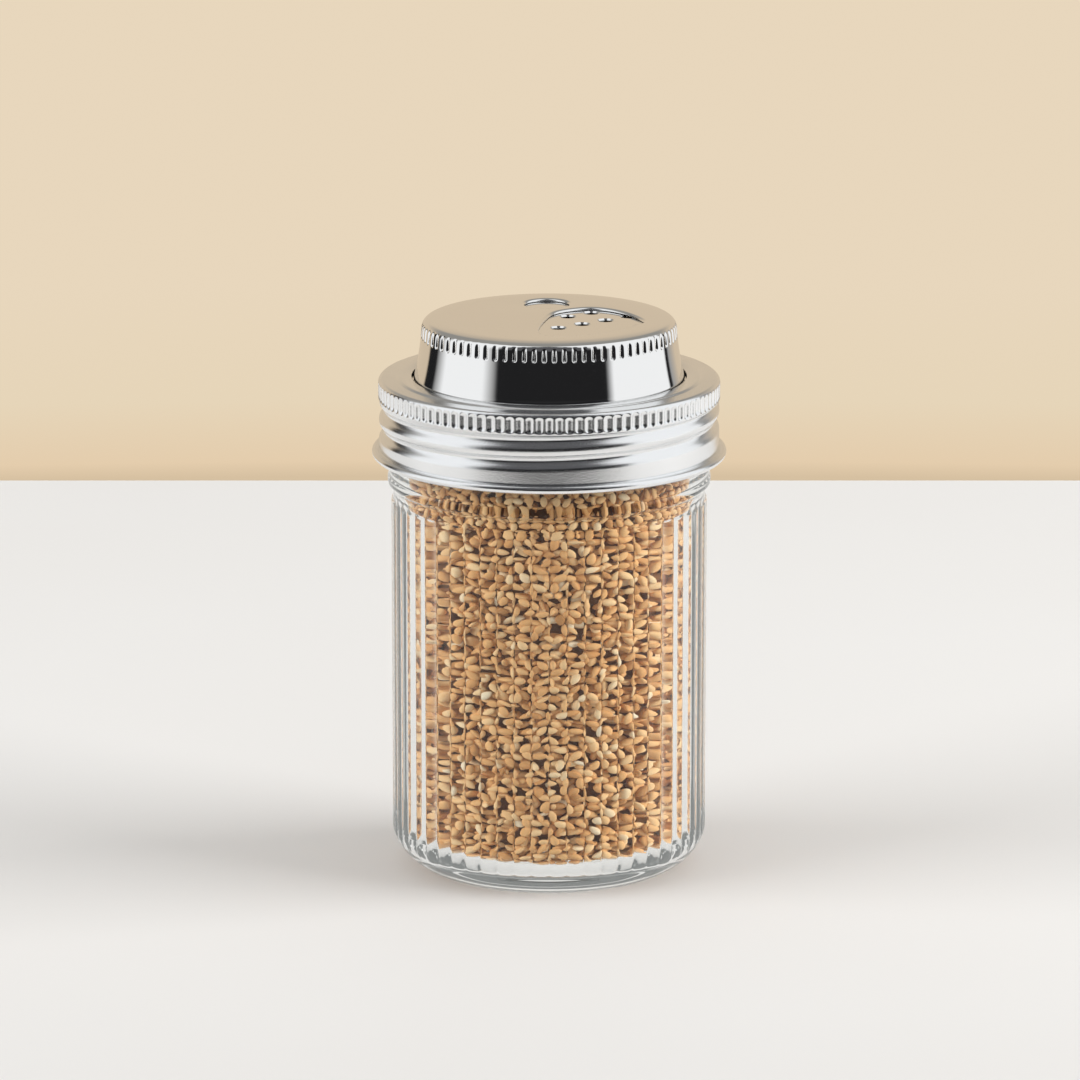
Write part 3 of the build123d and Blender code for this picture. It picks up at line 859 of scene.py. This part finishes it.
def softbox(name, azimuth, brightness):
    """A wide soft lamp. The azimuth is in degrees from the camera's side, to the right."""
    lamp = bpy.data.lights.new(name, "AREA")
    lamp.shape = "RECTANGLE"
    lamp.size = LAMP_WIDTH
    lamp.size_y = LAMP_HEIGHT
    lamp.energy = brightness * math.pi * LAMP_WIDTH * LAMP_HEIGHT
    holder = bpy.data.objects.new(name, lamp)
    turn = math.radians(azimuth)
    holder.location = (LAMP_DISTANCE * math.sin(turn), -LAMP_DISTANCE * math.cos(turn), LAMP_MIDDLE)
    holder.rotation_euler = (LAMP_AIM - holder.location).to_track_quat("-Z", "Y").to_euler()
    holder.visible_camera = False
    holder.visible_glossy = False
    holder.visible_transmission = False
    bpy.context.collection.objects.link(holder)
    print(name, "gives", round(lamp.energy, 1), "W")


softbox("left_softbox", -74, 5.7)
softbox("right_softbox", 82, 8.4)

# %% [markdown]
# ## What the metal and the glass mirror
# Polished metal is only as good as the room round it. The world draws that room for mirror rays,
# as rings of colours by direction. The low ring has a white softbox on each side, a dark room
# behind the camera and the warm wall at the back. Higher up it turns into a second ring, which
# has a dim ceiling between the softboxes. Lamps could be mirrored instead, but a drawn ring gives
# each softbox the soft edges that the photograph shows. Rays on clear glass, or past it, mostly
# see a third, paler ring, because glass gathers light from the whole room. Everything else gets
# one even pale light, and the camera itself sees the wall.

# %% World colours
BACK, DARK, SOFTBOX = (0.66, 0.54, 0.397), (0.015, 0.015, 0.016), (0.98, 0.99, 1.0)
GREY, CEILING, HIGH_BACK = (0.35, 0.35, 0.35), (0.1, 0.1, 0.105), (0.3, 0.29, 0.27)
ROOM_LIGHT, GLASS_LIGHT = (0.5, 0.495, 0.485), (0.86, 0.85, 0.83)
WALL_FOOT_SHADOW, WALL_LOW_SHADE = (0.672, 0.527, 0.356), (0.776, 0.61, 0.418)
WALL_MIDDLE, WALL = (0.791, 0.665, 0.485), (0.805, 0.677, 0.508)
world = bpy.data.worlds.new("studio")
bpy.context.scene.world = world
world.use_nodes = True
sky = world.node_tree
sky.nodes.clear()
print("the room's even light is", ROOM_LIGHT)

# %% Rings of the room
HIGH_STARTS, HIGH_WHOLE = 0.25, 0.55
direction = sky.nodes.new("ShaderNodeTexCoord")
split = sky.nodes.new("ShaderNodeSeparateXYZ")
sky.links.new(direction.outputs["Generated"], split.inputs["Vector"])
towards_camera = math_node(sky, "MULTIPLY", split.outputs["Y"], -1)
round_room = math_node(sky, "ARCTAN2", split.outputs["X"], towards_camera)
ring_place = math_node(sky, "MULTIPLY_ADD", round_room, 0.5 / math.pi, 0.5)
low_stops = [  # in degrees from the camera's side, to the right
    (-180, BACK), (-134, BACK), (-131, DARK), (-118, DARK), (-114, GREY), (-103, SOFTBOX),
    (-60, SOFTBOX), (-50, GREY), (-46, DARK), (51, DARK), (58, SOFTBOX), (123, SOFTBOX),
    (125, DARK), (129, DARK), (131, GREY), (148, BACK), (180, BACK),
]
low_ring = colour_ramp(sky, ring_place, [(turn / 360 + 0.5, colour) for turn, colour in low_stops])
high_ring = colour_ramp(sky, ring_place, [  # in shares of the whole round, from the back
    (0.0, HIGH_BACK), (0.17, HIGH_BACK), (0.22, SOFTBOX), (0.33, SOFTBOX), (0.375, CEILING),
    (0.61, CEILING), (0.65, SOFTBOX), (0.84, SOFTBOX), (0.88, HIGH_BACK), (1.0, HIGH_BACK),
])
glass_ring = colour_ramp(sky, ring_place, [
    (0.0, GLASS_LIGHT), (0.34, GLASS_LIGHT), (0.39, GREY),
    (0.61, GREY), (0.66, GLASS_LIGHT), (1.0, GLASS_LIGHT),
])
high = map_range(sky, split.outputs["Z"], HIGH_STARTS, HIGH_WHOLE, kind="SMOOTHSTEP")
room = colour_mix(sky, high, low_ring, high_ring)
print("the low ring has", len(low_stops), "stops")

# %% The wall
# The darker, warmer colours at the foot of the wall are painted shade where the wall meets the table.
# Higher up the wall lightens to its even colour.
WALL_DIPS_TO, WALL_EVEN_FROM = -0.236, -0.206
wall_place = map_range(sky, split.outputs["Z"], WALL_DIPS_TO, WALL_EVEN_FROM)
wall = colour_ramp(sky, wall_place, [
    (0.0, WALL_FOOT_SHADOW), (0.07, WALL_FOOT_SHADOW), (0.145, WALL_LOW_SHADE), (0.44, WALL_MIDDLE), (1.0, WALL),
])
print("the wall runs up from", WALL_FOOT_SHADOW, "to", WALL)

# %% What each kind of ray sees
GLASS_RING_SHARE = 0.85
ray = sky.nodes.new("ShaderNodeLightPath")
bounced = math_node(sky, "GREATER_THAN", ray.outputs["Diffuse Depth"], 0.5)
direct = math_node(sky, "SUBTRACT", 1, bounced)
sharp = math_node(sky, "MAXIMUM", ray.outputs["Is Glossy Ray"], ray.outputs["Is Transmission Ray"])
mirrored = math_node(sky, "MULTIPLY", sharp, direct)
past_glass = math_node(sky, "GREATER_THAN", ray.outputs["Transmission Depth"], 0.5)
on_glass = math_node(sky, "MAXIMUM", ray.outputs["Is Singular Ray"], past_glass)
glass_share = math_node(sky, "MULTIPLY", on_glass, GLASS_RING_SHARE)
room_or_glass = colour_mix(sky, glass_share, room, glass_ring)
lit = colour_mix(sky, mirrored, ROOM_LIGHT, room_or_glass)
seen = colour_mix(sky, ray.outputs["Is Camera Ray"], lit, wall)

sky_light = sky.nodes.new("ShaderNodeBackground")
sky_light.inputs["Strength"].default_value = 1.0
sky_out = sky.nodes.new("ShaderNodeOutputWorld")
sky.links.new(seen, sky_light.inputs["Color"])
sky.links.new(sky_light.outputs[0], sky_out.inputs["Surface"])
print("world nodes:", len(sky.nodes))

# %% [markdown]
# ## The camera
# The photograph was taken from a little above the cap with a long lens, so the sides of the jar
# stay nearly parallel. The place and the lens were worked out from the rings of the cap and band.

# %% Camera
CAMERA_PLACE, CAMERA_AIM = Vector((-0.0019, -1.35, 0.4081)), Vector((-0.0019, 0, 0.06955))
lens = bpy.data.cameras.new("front_camera")
lens.lens = 222.8
lens.sensor_width = 36
lens.clip_end = 20
camera = bpy.data.objects.new("front_camera", lens)
camera.location = CAMERA_PLACE
camera.rotation_euler = (CAMERA_AIM - camera.location).to_track_quat("-Z", "Y").to_euler()
bpy.context.collection.objects.link(camera)
bpy.context.scene.camera = camera
bpy.context.scene.view_settings.view_transform = "Standard"
print("camera:", [round(value, 4) for value in camera.location], "lens", lens.lens)
